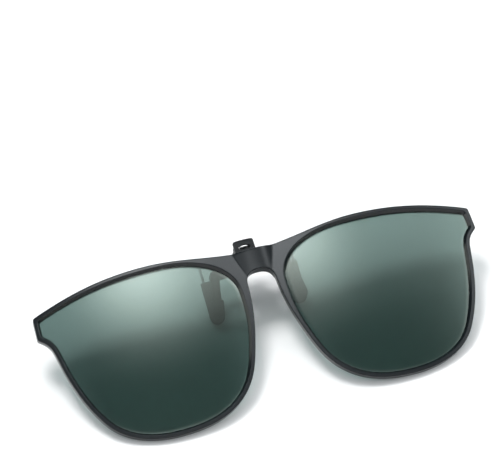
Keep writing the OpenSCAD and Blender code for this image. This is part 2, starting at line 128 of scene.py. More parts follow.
def soft_loop(line, length, spread, step=0.1):
    """A closed loop at even steps with its corners rounded: a Gaussian mean along the loop, taken on its
    Fourier terms. Gives a function of the length along the loop: the point, and its outward normal."""
    count = 2 * round(length[-1] / step / 2)
    even = np.arange(count + 1) * length[-1] / count
    loop = np.interp(even, length, line.real) + 1j * np.interp(even, length, line.imag)
    wave = np.fft.fftfreq(count, length[-1] / count) * 2 * math.pi
    loop = np.fft.ifft(np.fft.fft(loop[:-1]) * np.exp(-0.5 * (wave * spread) ** 2))
    out = 1j * (np.roll(loop, -1) - np.roll(loop, 1))
    out = out / np.abs(out)
    loop, out = np.append(loop, loop[0]), np.append(out, out[0])

    def at(s):
        s = np.mod(s, length[-1])
        return tuple(np.interp(s, even, v.real) + 1j * np.interp(s, even, v.imag) for v in (loop, out))

    return at


def sag(x):
    """Depth of the front's slight curve at x: an arc of front_r about an upright axis."""
    return front_r - np.sqrt(front_r**2 - x**2)


def panel(x, z):
    """Depth of the keystone panel: a cylinder of panel_r whose axis leans forward by panel_tilt."""
    across = np.sqrt(np.clip(panel_r**2 - x**2, 0, None)) + (z - bridge_top) * math.sin(panel_tilt)
    return panel_r - panel_rise - across / math.cos(panel_tilt)


def face(p):
    """Depth of the moulded front: its own curve, or the panel where that stands further forward."""
    return np.minimum(sag(p.real), panel(p.real, p.imag))


def ease(t):
    """0 below 0, 1 above 1, and a smooth step between."""
    t = np.clip(t, 0, 1)
    return t * t * (3 - 2 * t)


def rear(p):
    """Depth of the moulded back: rim_t behind the curve, and flat and thicker behind the bridge, with a
    smooth step between the two."""
    pad = ease((back_pad_half_w - np.abs(p.real)) / back_pad_run_x)
    pad = pad * ease((p.imag - back_pad_low) / back_pad_run_z)
    return (sag(p.real) + rim_t) * (1 - pad) + bridge_t * pad


def crease(z):
    """Half the panel's width at height z, where the cylinder meets the front's curve: a guess put right
    four times. It is 0 below the panel."""
    x = 5.0
    for _ in range(4):
        reach = (panel_r - panel_rise - sag(x)) * math.cos(panel_tilt)
        depth = reach - (z - bridge_top) * math.sin(panel_tilt)
        x = np.sqrt(np.maximum(panel_r**2 - depth**2, 0))
    return x


def sheet_of(columns):
    """A grid from columns of points, each given as its complex x, z and its depth y."""
    return np.stack([np.stack([p.real, y, p.imag], -1) for p, y in columns], 1)


def weld(grids):
    """One mesh from grids of points that share borders: a quad between every four neighbours, points in
    one place made one, and quads at a pole made triangles. Gives points and the two face arrays."""
    points, quads, count = [], [], 0
    for grid in grids:
        index = count + np.arange(grid.shape[0] * grid.shape[1]).reshape(grid.shape[:2])
        corners = index[:-1, :-1], index[:-1, 1:], index[1:, 1:], index[1:, :-1]
        quads.append(np.stack(corners, -1).reshape(-1, 4))
        points.append(grid.reshape(-1, 3))
        count += index.size
    points = np.concatenate(points)
    _, first, same = np.unique(np.round(points, 4), axis=0, return_index=True, return_inverse=True)
    quads = same.reshape(-1)[np.concatenate(quads)]
    shut = quads == np.roll(quads, -1, 1)
    poles = shut.sum(1) == 1
    keep = ~shut[poles]
    triangles = quads[poles][keep].reshape(-1, 3)
    return points[first], quads[shut.sum(1) == 0], triangles


def turn_out(mesh):
    """How sharply a mesh turns outwards at each point, from 0 on a flat to 1 on an edge: the mean over its
    neighbours of its height above them over the distance squared, per millimetre, from 0.15 to 0.85."""
    count, spans = len(mesh.vertices), len(mesh.edges)
    place, normal, pair = np.zeros(3 * count), np.zeros(3 * count), np.zeros(2 * spans, int)
    mesh.vertices.foreach_get("co", place)
    mesh.vertices.foreach_get("normal", normal)
    mesh.edges.foreach_get("vertices", pair)
    place, normal = 1000 * place.reshape(-1, 3), normal.reshape(-1, 3)
    here, there = np.concatenate([pair[::2], pair[1::2]]), np.concatenate([pair[1::2], pair[::2]])
    step = place[here] - place[there]
    bend = (step * normal[here]).sum(1) / np.maximum((step**2).sum(1), 1e-6)
    bend = np.bincount(here, bend, count) / np.maximum(np.bincount(here, minlength=count), 1)
    return np.clip((bend - 0.15) / 0.7, 0, 1)


def make_piece(name, welded, finish, body, slot, *nodes):
    """An object from a welded mesh in worn mm: laid on the table, faces outwards and shaded smooth, with
    its finish, the body that it rides on and the solids that it stands for. Its slot in the record is not
    used."""
    points, quads, triangles = welded
    mesh = bpy.data.meshes.new(name)
    mesh.from_pydata(laid(points).tolist(), [], quads.tolist() + triangles.tolist())
    shell = bmesh.new()
    shell.from_mesh(mesh)
    bmesh.ops.recalc_face_normals(shell, faces=shell.faces)
    shell.to_mesh(mesh)
    shell.free()
    mesh.shade_smooth()
    mesh.attributes.new("edge", "FLOAT", "POINT").data.foreach_set("value", turn_out(mesh))
    mesh.materials.append(finish)
    item = bpy.data.objects.new(name, mesh)
    bpy.context.scene.collection.objects.link(item)
    if body:
        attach(item, body)
    if nodes:
        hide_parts(*nodes)
    return item


class Wire:
    """A socket of a material's nodes. Python's operators on it add Math nodes, add() any other node."""

    def __init__(self, tree, socket=None):
        self.tree, self.socket = tree, socket

    def add(self, kind, settings=None, inputs=None, output=0):
        """A new node of a type: its own settings first, then its sockets, a Wire being linked and a plain
        value set. Gives the wire of one of its outputs."""
        node = self.tree.nodes.new(kind)
        for name, value in (settings or {}).items():
            setattr(node, name, value)
        for name, value in (inputs or {}).items():
            if isinstance(value, Wire):
                self.tree.links.new(value.socket, node.inputs[name])
            else:
                node.inputs[name].default_value = value
        return Wire(self.tree, node.outputs[output] if node.outputs else None)

    def math(self, operation, *values):
        """A Math node on one or two values."""
        return self.add("ShaderNodeMath", {"operation": operation}, dict(enumerate(values)))

    def __add__(self, other):
        return self.math("ADD", self, other)

    def __sub__(self, other):
        return self.math("SUBTRACT", self, other)

    def __rsub__(self, other):
        return self.math("SUBTRACT", other, self)

    def __mul__(self, other):
        return self.math("MULTIPLY", self, other)

    __radd__, __rmul__ = __add__, __mul__


def new_finish(name):
    """An empty material: the material, and a wire in its tree to start from."""
    material = bpy.data.materials.new(name)
    material.use_nodes = True
    material.node_tree.nodes.clear()
    return material, Wire(material.node_tree)


def moulded(name, dark, light, edge_wear_and_highlight, rough, grain, bump, gloss=0.5):
    """A moulded or rubbery finish: cloudy colour between two tones, a third, lighter one on sharp edges
    that is partly rubbed wear and partly a painted highlight, a grain of fine lumps of a given size in
    metres that also carries the bump, and roughness that varies with both."""
    material, tree = new_finish(name)
    spot = tree.add("ShaderNodeTexCoord", output="Object")
    fine = tree.add("ShaderNodeTexNoise", {}, {"Vector": spot, "Scale": 1 / grain, "Detail": 3.0})
    cloud = tree.add("ShaderNodeTexNoise", {}, {"Vector": spot, "Scale": 160.0, "Detail": 2.0})
    tone = tree.add("ShaderNodeMix", {"data_type": "RGBA"},
                    {"Factor": cloud * 0.7 + fine * 0.3, "A": (*dark, 1), "B": (*light, 1)}, "Result")
    # Sharp edges take the lighter third tone: partly rubbed wear, partly a painted highlight along the
    # edges.
    edge = tree.add("ShaderNodeAttribute", {"attribute_name": "edge"}, output="Fac")
    edge = edge * (0.4 + cloud * 0.7)
    tone = tree.add("ShaderNodeMix", {"data_type": "RGBA"},
                    {"Factor": edge, "A": tone, "B": (*edge_wear_and_highlight, 1)}, "Result")
    relief = tree.add("ShaderNodeBump", {}, {"Strength": bump, "Distance": 0.00006, "Height": fine})
    surface = tree.add("ShaderNodeBsdfPrincipled", {}, {
        "Base Color": tone, "Roughness": rough - 0.05 + fine * 0.06 + cloud * 0.04, "Normal": relief,
        "Specular IOR Level": gloss})
    tree.add("ShaderNodeOutputMaterial", {}, {"Surface": surface})
    return material


right_line, right_length, right_marks = run_through(outline_keys)
whole_line = np.append(right_line, -right_line[-2::-1].conjugate())
whole_length = np.append(right_length, 2 * right_length[-1] - right_length[-2::-1])
outline_at = soft_loop(whole_line, whole_length, corner_spread)
lens_keys = [inset_key(key, rim_w) for key in outline_keys[2:11]] + lens_corner_keys
lens_line, lens_length, lens_marks = run_through(lens_keys + lens_keys[:1])
lens_at = soft_loop(lens_line, lens_length, corner_spread)

# Lengths along the outline where the front's flat meets the crease, over the bridge and at the arch
scan = np.linspace(0, right_length[-1], 8000)
scan_edge, scan_out = outline_at(scan)
scan_edge = scan_edge - front_round * scan_out
in_panel = np.flatnonzero(scan_edge.real < crease(scan_edge.imag))
in_panel = in_panel[scan_edge[in_panel].imag > panel_low_z]
over_s = scan[in_panel[scan[in_panel] < right_length[-1] / 2].max()]
arch_s = scan[in_panel[scan[in_panel] > right_length[-1] / 2].min()]

# Stations round the rim: from the crease's top round the outside to the arch, then up the crease
near_top = (lens_line.real < lens_top_x) & (lens_line.imag > lens_top_z)
near_nose = (lens_line.real < lens_nose_x) & (lens_line.imag > lens_nose_z)
lens_top_s = lens_length[np.flatnonzero(near_top)[-1]]
lens_nose_s = lens_length[np.flatnonzero(near_nose)[0]]
outer_stops = np.array([over_s, *right_marks[2:12], arch_s])
inner_stops = np.array([lens_top_s - lens_length[-1], *lens_marks[:10], lens_nose_s])
counts = np.maximum(2, np.round(np.diff(outer_stops) / station_step)).astype(int)
shares = [np.arange(n) / n for n in counts]
outer_s, inner_s = (
    np.append(np.concatenate([a + (b - a) * t for a, b, t in zip(stops, stops[1:], shares)]), stops[-1])
    for stops in (outer_stops, inner_stops))
crease_t = np.linspace(0, 1, 16)
bridge_t_steps = np.linspace(0, 1, 22)
inner_s = np.append(inner_s, lens_nose_s + (lens_top_s - lens_nose_s) * crease_t[1:-1])
lens_edge, lens_out = lens_at(np.append(inner_s, inner_s[0]))


def border(inset):
    """The frame's flat border at an inset from the outline: along the top half of the bridge, round the
    rim, along the half arch, and down the crease between the two."""
    def run(s):
        edge, out = outline_at(s)
        return edge - inset * out
    top, rim = run(over_s * bridge_t_steps), run(outer_s)
    arch = run(right_length[-1] + (arch_s - right_length[-1]) * bridge_t_steps)
    top[0], arch[0] = 1j * top[0].imag, 1j * arch[0].imag
    z = rim[0].imag + (rim[-1].imag - rim[0].imag) * crease_t
    side = crease(z) + 1j * z
    side = side + (rim[0] - side[0]) * (1 - crease_t) + (rim[-1] - side[-1]) * crease_t
    return top, rim, arch, side


def bridge_sheet(top, arch, side, depth):
    """Half the bridge as a Coons patch between its top edge, the arch, the crease and the middle line."""
    t, v = crease_t[:, None], bridge_t_steps[None, :]
    middle = 1j * (top[0].imag + (arch[0].imag - top[0].imag) * t)
    flat = (1 - t) * top + t * arch + (1 - v) * middle + v * side[:, None]
    flat = flat - (1 - t) * ((1 - v) * top[0] + v * top[-1]) - t * ((1 - v) * arch[0] + v * arch[-1])
    flat[:, 0] = 1j * flat[:, 0].imag
    return sheet_of([(p, depth(p)) for p in flat.T])


front_top, front_rim, front_arch, front_side = border(front_round)
back_top, back_rim, back_arch, back_side = border(back_round)
rim_front = np.concatenate([front_rim, front_side[-2:0:-1], front_rim[:1]])
rim_back = np.concatenate([back_rim, back_side[-2:0:-1], back_rim[:1]])
brink = lens_edge + (bevel_w + brink_round) * lens_out
lip = lens_edge + back_round * lens_out

# Section of the opening: the front's flat, then reach from the lens edge and depth down the bevel to the
# lens, through the opening, and round the back edge, which follows the thicker bridge
band = np.array([0, 0.05, 0.14, 0.28, 0.44, 0.6, 0.74, 0.86, 0.95, 1])
bevel_section = [(0.86, 0.015), (0.8, 0.055), (0.74, 0.13), (0.62, 0.29), (0.2, 0.87), (0.06, 1.06),
                 (0, 1.16)]
bore_section = [(0, 1.5)]
back_section = [(0, rim_t - 0.36), (0, rim_t - 0.3), (0.04, rim_t - 0.14), (0.14, rim_t - 0.04)]
columns = [(p, face(p)) for p in (rim_front + (brink - rim_front) * t for t in band)]
for reach, depth in bevel_section + bore_section + back_section:
    ring = lens_edge + reach * lens_out
    rise = rear(ring) - sag(ring.real) - rim_t if (reach, depth) in back_section else 0
    columns.append((ring, sag(ring.real) + depth + rise))
columns += [(p, rear(p)) for p in (lip + (rim_back - lip) * t for t in 1 - band[::-1])]
rim_sheet = sheet_of(columns)

# The outer edge: a quarter round at the front, a flat side and a quarter round at the back
edge_s = np.concatenate([over_s * bridge_t_steps[:-1], outer_s,
                         right_length[-1] + (arch_s - right_length[-1]) * bridge_t_steps[-2::-1]])
edge, edge_out = outline_at(edge_s)
columns = []
for turn in np.radians([0, 15, 30, 50, 70, 90]):
    p = edge - front_round * (1 - math.sin(turn)) * edge_out
    p[[0, -1]] = 1j * p[[0, -1]].imag
    columns.append((p, face(p) + front_round * (1 - math.cos(turn))))
near, far = columns[-1][1], rear(edge) - back_round
columns += [(columns[-1][0], near + (far - near) * t) for t in (0.1, 0.5, 0.9)]
for turn in np.radians([90, 70, 50, 30, 15, 0]):
    p = edge - back_round * (1 - math.sin(turn)) * edge_out
    p[[0, -1]] = 1j * p[[0, -1]].imag
    columns.append((p, rear(p) - back_round * (1 - math.cos(turn))))
half = [rim_sheet, sheet_of(columns), bridge_sheet(front_top, front_arch, front_side, face),
        bridge_sheet(back_top, back_arch, back_side, rear)]
# The lighter third tone on the frame's edges is a painted highlight: the thin light lines that the rims'
# edges catch.
frame_finish = moulded(
    "frame_satin", (0.003, 0.0042, 0.0052), (0.0055, 0.0075, 0.009), (0.012, 0.014, 0.016),
    rough=0.155, grain=0.00022, bump=0.08, gloss=0.4)
make_piece("moulded_front", weld(half + [grid * np.array([-1, 1, 1]) for grid in half]),
           frame_finish, "front", "frame_plastic", "front_frame")

# Lenses. Two thin curved panes of green-grey polarised plastic, cut to the rims' openings and snapped
# into the groove behind the bevel. A hard coat gives them a clean reflection.
lens_t = 0.8
lens_reach = 0.3
polish_w, polish_slope = 0.43, math.tan(math.radians(5))
lens_tint = (0.338, 0.42, 0.405)
dense_share = 0.94
mirror_least = 0.04


def pane(depth, fall, steps=30):
    """One face of a lens: rings spread from its middle to the start of its polished edge, lying on the
    front's curve, and then the polished edge, which falls away at an even slope."""
    start = lens_edge + (lens_reach - polish_w) * lens_out
    middle = start[:-1].mean()
    rings = [(middle + (start - middle) * t, depth) for t in np.linspace(0, 1, steps)]
    rings += [(start + w * lens_out, depth + fall * w) for w in (0.03, 0.07, 0.14, 0.28, polish_w)]
    return sheet_of([(p, sag(p.real) + y) for p, y in rings])


def lens_finish():
    """Tinted see-through plastic: a clear tint, a slightly denser one mixed in by soft clouds as in a
    dyed sheet, and a mirror on top, dulled here and there. The mirror's share is least square on, and
    grows with the fifth power of the facing value, as a polished surface's does."""
    material, tree = new_finish("lens_green")
    spot = tree.add("ShaderNodeTexCoord", output="Object")
    cloud = tree.add("ShaderNodeTexNoise", {}, {"Vector": spot, "Scale": 30.0, "Detail": 1.0})
    clear = tree.add("ShaderNodeBsdfTransparent", {}, {"Color": (*lens_tint, 1)})
    dense = tree.add("ShaderNodeBsdfTransparent", {}, {"Color": (*(dense_share * np.array(lens_tint)), 1)})
    dyed = tree.add("ShaderNodeMixShader", {}, {0: cloud, 1: clear, 2: dense})
    smear = tree.add("ShaderNodeTexNoise", {}, {"Vector": spot, "Scale": 90.0, "Detail": 2.0})
    shine = tree.add("ShaderNodeBsdfAnisotropic", {},
                     {"Color": (0.95, 1.0, 0.9, 1), "Roughness": 0.01 + smear * 0.02})
    facing = tree.add("ShaderNodeLayerWeight", {}, {"Blend": 0.5}, "Facing")
    square = facing * facing
    mirror = mirror_least + square * square * facing * (1 - mirror_least)
    surface = tree.add("ShaderNodeMixShader", {}, {0: mirror, 1: dyed, 2: shine})
    tree.add("ShaderNodeOutputMaterial", {}, {"Surface": surface})
    return material


lens_green = lens_finish()
front_pane, back_pane = pane(lens_depth, polish_slope), pane(lens_depth + lens_t, -polish_slope)
pane_side = np.stack([front_pane[:, -1] * (1 - t) + back_pane[:, -1] * t for t in (0, 0.5, 1)], 1)
for side, name in ((1, "right"), (-1, "left")):
    sided = [grid * np.array([side, 1, 1]) for grid in (front_pane, back_pane, pane_side)]
    make_piece("tinted_lens_" + name, weld(sided), lens_green, "front", "lens_tint", "lens_" + name)

# Hinge bracket. A stamped steel plate painted black, with two ears bent back from it, screwed to the back
# of the bridge. Its folds are rounded, so it is drawn as a solid with blended corners.
plate_y, plate_t = 3.4, 1.0
plate_z = 47.4, 52.4
plate_half_w = 6.3
ear_x = 2.99, 3.99
ear_r = 1.7
stamped_edge, folded_edge, fold_r = 0.18, 0.16, 0.5


def block(p, low, high, edge):
    """Distance to a box between two corners, less than 0 inside, with its edges rounded."""
    low, high = np.array(low, float), np.array(high, float)
    over = np.abs(p - (low + high) / 2) - (high - low) / 2 + edge
    return np.linalg.norm(np.maximum(over, 0), axis=-1) + np.minimum(over.max(-1), 0) - edge


def rod(p, x0, x1, axis, r, edge):
    """Distance to a round rod along x from x0 to x1 about an axis (y, z), with its end edges rounded."""
    around = np.hypot(p[..., 1] - axis[0], p[..., 2] - axis[1]) - r + edge
    along = np.abs(p[..., 0] - (x0 + x1) / 2) - (x1 - x0) / 2 + edge
    over = np.hypot(np.maximum(around, 0), np.maximum(along, 0))
    return over + np.minimum(np.maximum(around, along), 0) - edge


def join(a, b, fillet):
    """Distance to two solids together, with a fillet where they meet."""
    near = np.maximum(fillet - np.abs(a - b), 0)
    return np.minimum(a, b) - near * near / (4 * fillet)


def cut(a, b, edge):
    """Distance to solid a with solid b taken away, and the rim of the cut rounded."""
    return -join(-a, b, edge)


def skin(solid, low, high, cell):
    """Surface of a solid given by its distance: on a cubic lattice, one point in each cell that the surface
    crosses, at the mean of the crossings on the cell's edges and then moved along the slope onto the
    surface, and one quad round each lattice edge that crosses. Made so because its corners blend."""
    low = np.array(low, float)
    counts = np.ceil((np.array(high) - low) / cell).astype(int) + 1
    lattice = np.stack(np.meshgrid(*(np.arange(n) for n in counts), indexing="ij"), -1) * cell + low
    value = solid(lattice)
    total, hits, crossings = np.zeros((*(counts - 1), 3)), np.zeros(counts - 1), []
    for axis in range(3):
        first = tuple(slice(None, -1) if k == axis else slice(None) for k in range(3))
        second = tuple(slice(1, None) if k == axis else slice(None) for k in range(3))
        crosses = (value[first] < 0) != (value[second] < 0)
        drop = value[first] - value[second]
        share = np.where(crosses, value[first] / (drop + (drop == 0)), 0)
        place = (lattice[first] + cell * share[..., None] * np.eye(3)[axis]) * crosses[..., None]
        for corner in ((0, 0), (0, 1), (1, 0), (1, 1)):
            pick = [slice(1, None) if far else slice(None, -1) for far in corner]
            pick.insert(axis, slice(None))
            pick = tuple(pick)
            total += place[pick]
            hits += crosses[pick]
        crossings.append(crosses)
    index = np.full(hits.shape, -1)
    index[hits > 0] = np.arange((hits > 0).sum())
    points = total[hits > 0] / hits[hits > 0][:, None]
    nudge = cell * 0.05
    for _ in range(3):
        slope = [solid(points + nudge * e) - solid(points - nudge * e) for e in np.eye(3)]
        slope = np.stack(slope, -1) / (2 * nudge)
        points = points - (solid(points) / np.maximum((slope**2).sum(-1), 0.2))[:, None] * slope
    quads = []
    for axis, crosses in enumerate(crossings):
        at = np.argwhere(crosses)
        one, two = np.eye(3, dtype=int)[(axis + 1) % 3], np.eye(3, dtype=int)[(axis + 2) % 3]
        cells = [at - a * one - b * two for a, b in ((1, 1), (0, 1), (0, 0), (1, 0))]
        quads.append(np.stack([index[tuple(cell_at.T)] for cell_at in cells], -1))
    return points, np.concatenate(quads), np.zeros((0, 3), int)


def bracket(p):
    """Distance to the plate and its two ears: each ear's round end, and the tongue that joins it to the
    plate with a rounded fold."""
    solid = block(p, (-plate_half_w, plate_y, plate_z[0]),
                  (plate_half_w, plate_y + plate_t, plate_z[1]), stamped_edge)
    p = np.stack([np.abs(p[..., 0]), p[..., 1], p[..., 2]], -1)
    flip = worn_axes["flip"]
    ear = rod(p, *ear_x, flip, ear_r, folded_edge)
    tongue = block(p, (ear_x[0], plate_y + 0.2, flip[1] - ear_r),
                   (ear_x[1], flip[0], plate_z[1]), folded_edge)
    return join(solid, join(ear, tongue, 0.1), fold_r)


bracket_finish = moulded(
    "bracket_paint", (0.008, 0.008, 0.009), (0.016, 0.016, 0.018), (0.16, 0.16, 0.165),
    rough=0.36, grain=0.00035, bump=0.25)
# The lattice starts at odd places, so none of its points lies on one of the plate's flat faces
plate_skin = skin(bracket, (-6.637, 3.137, 47.137), (6.6, 8.4, 53.6), 0.1)
make_piece("flip_bracket", plate_skin, bracket_finish, "front", "bracket_metal", "hinge_bracket")

# Bracket screws. Two small screws turned from steel, with slotted and slightly domed heads. They go through
# the bracket's plate into blind holes in the back of the bridge.
screw_y, screw_z, screw_x = 4.4, 49.5, 5.2
screw_head_r, screw_shank_r, screw_len = 0.95, 0.55, 3.0
head_t, slot_half, slot_deep = 0.6, 0.15, 0.25
dome_fall, shoulder_fall = 0.12, 0.14


def slotted_screw(r, height, shank):
    """A screw: lines across its head, parallel to the slot, with the dome's height less the slot's and a
    rounded shoulder, then an upright side, and rings of the same points for the shank, each given as its
    radius and how far out it stands. Points are (across, along, out)."""
    near = np.array([0, 0.8, 0.97, 1.06, 1.2, 1.6]) * slot_half
    rest = np.sin(np.linspace(0, math.pi / 2, 14)[1:])
    lines = np.concatenate([near, near[-1] + (r - near[-1]) * rest])
    lines = np.concatenate([-lines[:0:-1], lines])
    reach = np.sqrt(np.maximum(r * r - lines**2, 0))
    share = np.sin(np.linspace(-math.pi / 2, math.pi / 2, 25))
    across, along = np.broadcast_arrays(lines[:, None], reach[:, None] * share)
    gap = np.hypot(across, along) / r
    dome = height - dome_fall * gap**2 - shoulder_fall * ease((gap - 0.8) / 0.2)
    out = dome - slot_deep * (1 - ease((np.abs(across) / slot_half - 0.9) * 5))
    top = np.stack([across, along, out], -1)
    ring = np.concatenate([top[:, 0], top[-2::-1, -1]])
    rings = [ring * np.array([1, 1, t]) for t in (1, 0.6, 0.3, 0)]
    rings += [np.column_stack([ring[:, :2] * (shank_r / r), np.full(len(ring), place)])
              for shank_r, place in shank]
    return [top, np.stack(rings, 1)]


def drawn_steel(name, dark, light, rough):
    """Bare or blackened steel: two tones in clouds, fine scratches as noise drawn out along x that also
    carry the bump, and roughness that varies with both."""
    material, tree = new_finish(name)
    spot = tree.add("ShaderNodeTexCoord", output="Object")
    drawn = tree.add("ShaderNodeMapping", {}, {"Vector": spot, "Scale": (900.0, 7000.0, 7000.0)})
    lines = tree.add("ShaderNodeTexNoise", {}, {"Vector": drawn, "Scale": 1.0, "Detail": 2.0})
    cloud = tree.add("ShaderNodeTexNoise", {}, {"Vector": spot, "Scale": 500.0, "Detail": 2.0})
    tone = tree.add("ShaderNodeMix", {"data_type": "RGBA"},
                    {"Factor": cloud * 0.6 + lines * 0.4, "A": (*dark, 1), "B": (*light, 1)}, "Result")
    relief = tree.add("ShaderNodeBump", {}, {"Strength": 0.12, "Distance": 0.00003, "Height": lines})
    surface = tree.add("ShaderNodeBsdfPrincipled", {}, {
        "Base Color": tone, "Roughness": rough + lines * 0.12 + cloud * 0.06, "Normal": relief,
        "Metallic": 1.0})
    tree.add("ShaderNodeOutputMaterial", {}, {"Surface": surface})
    return material


steel_finish = drawn_steel("bright_steel", (0.42, 0.42, 0.43), (0.58, 0.58, 0.59), 0.18)
shank = [(screw_shank_r, 0), (screw_shank_r, 0.1 - screw_len), (screw_shank_r - 0.15, -screw_len),
         (0, -screw_len)]
screw = slotted_screw(screw_head_r, head_t, shank)
for side, name in ((1, "right"), (-1, "left")):
    placed = [np.stack([side * screw_x + grid[..., 1], screw_y + grid[..., 2], screw_z + grid[..., 0]], -1)
              for grid in screw]
    make_piece("bracket_pan_screw_" + name, weld(placed), steel_finish, "front", "steel",
               "bracket_screw_" + name)

# Hinge screw, nut and washers. The turned steel screw passes through both ears and the clip's knuckle, a
# hexagon nut draws it up on the right, and two thin nylon washers give the hinge its friction.
flip_head_r, flip_shank_r, flip_len = 1.3, 0.7, 9.15
nut_r, nut_t, nut_flat_r, nut_face_r = 1.4, 0.9, 1.21, 1.26
washer_x, washer_r, washer_bore_r, washer_edge = (2.74, 2.99), 1.6, 0.71, 0.05


def on_flip_axis(grid, x, way):
    """Puts a turned part on the flip axis: its out axis along x, to the right or to the left."""
    y, z = worn_axes["flip"]
    return np.stack([x + way * grid[..., 2], y + grid[..., 0], z + grid[..., 1]], -1)


def turned(profile, steps=48):
    """A turned part: its profile of (radius, out) carried round the axis. Points are (across, along,
    out)."""
    angle = np.linspace(0, 2 * math.pi, steps + 1)
    angle[-1] = 0
    r, out = np.array(profile, float).T
    around = np.stack([np.cos(angle), np.sin(angle)], -1)[:, None, :] * r[None, :, None]
    return np.concatenate([around, np.broadcast_to(out[None, :, None], around.shape[:2] + (1,))], -1)


shank = [(flip_shank_r, 0), (flip_shank_r, 0.15 - flip_len), (flip_shank_r, 0.13 - flip_len),
         (flip_shank_r - 0.12, -flip_len), (0, -flip_len)]
screw = [on_flip_axis(grid, -ear_x[1], -1) for grid in slotted_screw(flip_head_r, head_t, shank)]
make_piece("hinge_screw", weld(screw), steel_finish, "front", "steel", "flip_screw")

# The nut: rings of a hexagon's reach, held to a round face where its corners are cut, round a bore
around = np.radians(np.arange(0, 361, 5))
around[-1] = 0
flat = nut_r * math.cos(math.pi / 6) / np.cos(np.mod(around, math.pi / 3) - math.pi / 6)
bore = np.full_like(flat, flip_shank_r - 0.01)
corner = 0.05 + 0.5 * (flat - nut_flat_r)
nut_face = np.minimum(flat, nut_face_r)
rings = [(bore, 0.0), (bore + 0.1, 0.0), (nut_face, 0.0), (flat, corner), (flat, nut_t - corner),
         (nut_face, nut_t), (bore + 0.12, nut_t), (bore, nut_t - 0.1), (bore, 0.0)]
nut = [np.stack([r * np.cos(around), r * np.sin(around), out + 0 * r], -1) for r, out in rings]
nut = np.stack(nut, 1)
make_piece("hinge_nut", weld([on_flip_axis(nut, ear_x[1], 1)]), steel_finish, "front", "steel", "flip_nut")

nylon_finish = moulded(
    "washer_nylon", (0.5, 0.49, 0.45), (0.6, 0.59, 0.55), (0.66, 0.65, 0.62),
    rough=0.5, grain=0.0003, bump=0.15)
washer_t = washer_x[1] - washer_x[0]
washer_flat_r = washer_r - washer_edge
ring = turned([(washer_bore_r, 0.0), (washer_flat_r, 0.0), (washer_r, washer_edge),
               (washer_r, washer_t - washer_edge), (washer_flat_r, washer_t), (washer_bore_r, washer_t),
               (washer_bore_r, 0.0)])
for side, name in ((1, "right"), (-1, "left")):
    washer = on_flip_axis(ring, side * washer_x[0], side)
    make_piece("friction_washer_" + name, weld([washer]), nylon_finish, "front", "washer_nylon",
               "washer_" + name)

# Clip body. The front jaw: a black moulded block with the hinge's knuckle in front, two ears for the jaw
# pin on top, and two arms that turn down at an elbow into flat legs. Its corners run into each other.
knuckle_half_w, knuckle_r = 2.7, 1.6
body_half_w, body_y, body_z = 5.6, (9.8, 12.8), (48.9, 53.4)
jaw_ear_x, jaw_end_r, ear_neck = (1.5, 2.3), 1.3, 0.8
arm_place, arm_t, leg_w, leg_t = (12, 11.44, 50.9), 2.4, 3.0, 1.8
leg_len, leg_lean, leg_splay = 13.4, math.radians(9.5), math.radians(10)
rest_half_w, rest_y, rest_deep = 1.5, 10.79, 1.6


def leg_turn(lean, splay):
    """Rows of the turn from a leg's own axes to worn ones: splayed about y, then leaned about x."""
    c, s, e, f = math.cos(lean), math.sin(lean), math.cos(splay), math.sin(splay)
    return np.array([[1, 0, 0], [0, c, -s], [0, s, c]]) @ np.array([[e, 0, -f], [0, 1, 0], [f, 0, e]])


def clip(p):
    """Distance to the knuckle and its neck, the block, the ears on their necks, the arms, elbows and legs,
    joined with fillets, less the rest for the spring's lower leg."""
    flip, jaw = worn_axes["flip"], worn_axes["jaw"]
    p = np.stack([np.abs(p[..., 0]), p[..., 1], p[..., 2]], -1)
    solid = rod(p, -knuckle_half_w, knuckle_half_w, flip, knuckle_r, 0.1)
    neck = block(p, (-knuckle_half_w, flip[0], flip[1] - knuckle_r),
                 (knuckle_half_w, body_y[0] + 1, flip[1] + knuckle_r / 2), 0.1)
    main = block(p, (-body_half_w, body_y[0], body_z[0]), (body_half_w, body_y[1], body_z[1]), 0.4)
    solid = join(join(solid, neck, 0.2), main, 0.5)
    arm = block(p, (0, arm_place[1] - arm_t / 2, arm_place[2] - leg_w / 2),
                (arm_place[0] + 1.4, arm_place[1] + arm_t / 2, arm_place[2] + leg_w / 2), 0.5)
    own = (p - np.array(arm_place)) @ leg_turn(leg_lean, leg_splay)
    elbow = np.stack([p[..., 1], p[..., 0], p[..., 2]], -1)
    elbow = rod(elbow, arm_place[1] - arm_t / 2, arm_place[1] + arm_t / 2,
                (arm_place[0], arm_place[2]), leg_w / 2, 0.5)
    arm = np.where(p[..., 0] > arm_place[0], np.maximum(arm, elbow), arm)
    leg = block(own, (-leg_w / 2, -leg_t / 2, -leg_len), (leg_w / 2, leg_t / 2, 0), 0.4)
    solid = join(solid, join(join(arm, elbow, 0.1), leg, 0.7), 0.6)
    ear = block(p, (jaw_ear_x[0], jaw[0] - ear_neck, body_z[1] - 1),
                (jaw_ear_x[1], jaw[0] + ear_neck, jaw[1]), 0.1)
    solid = join(solid, join(rod(p, *jaw_ear_x, jaw, jaw_end_r, 0.1), ear, 0.1), 0.3)
    rest = block(p, (-rest_half_w, body_y[0] - 1, body_z[1] - rest_deep),
                 (rest_half_w, rest_y, body_z[1] + 1), 0.1)
    return cut(solid, rest, 0.1)


clip_finish = moulded(
    "clip_satin", (0.005, 0.0055, 0.006), (0.010, 0.011, 0.012), (0.02, 0.021, 0.023),
    rough=0.55, grain=0.0002, bump=0.25)
clip_skin = skin(clip, (-16.6, 4.5, 36), (16.6, 15.2, 58.7), 0.13)
make_piece("moulded_clip", clip_skin, clip_finish, "clip_base", "clip_plastic", "clip_body")

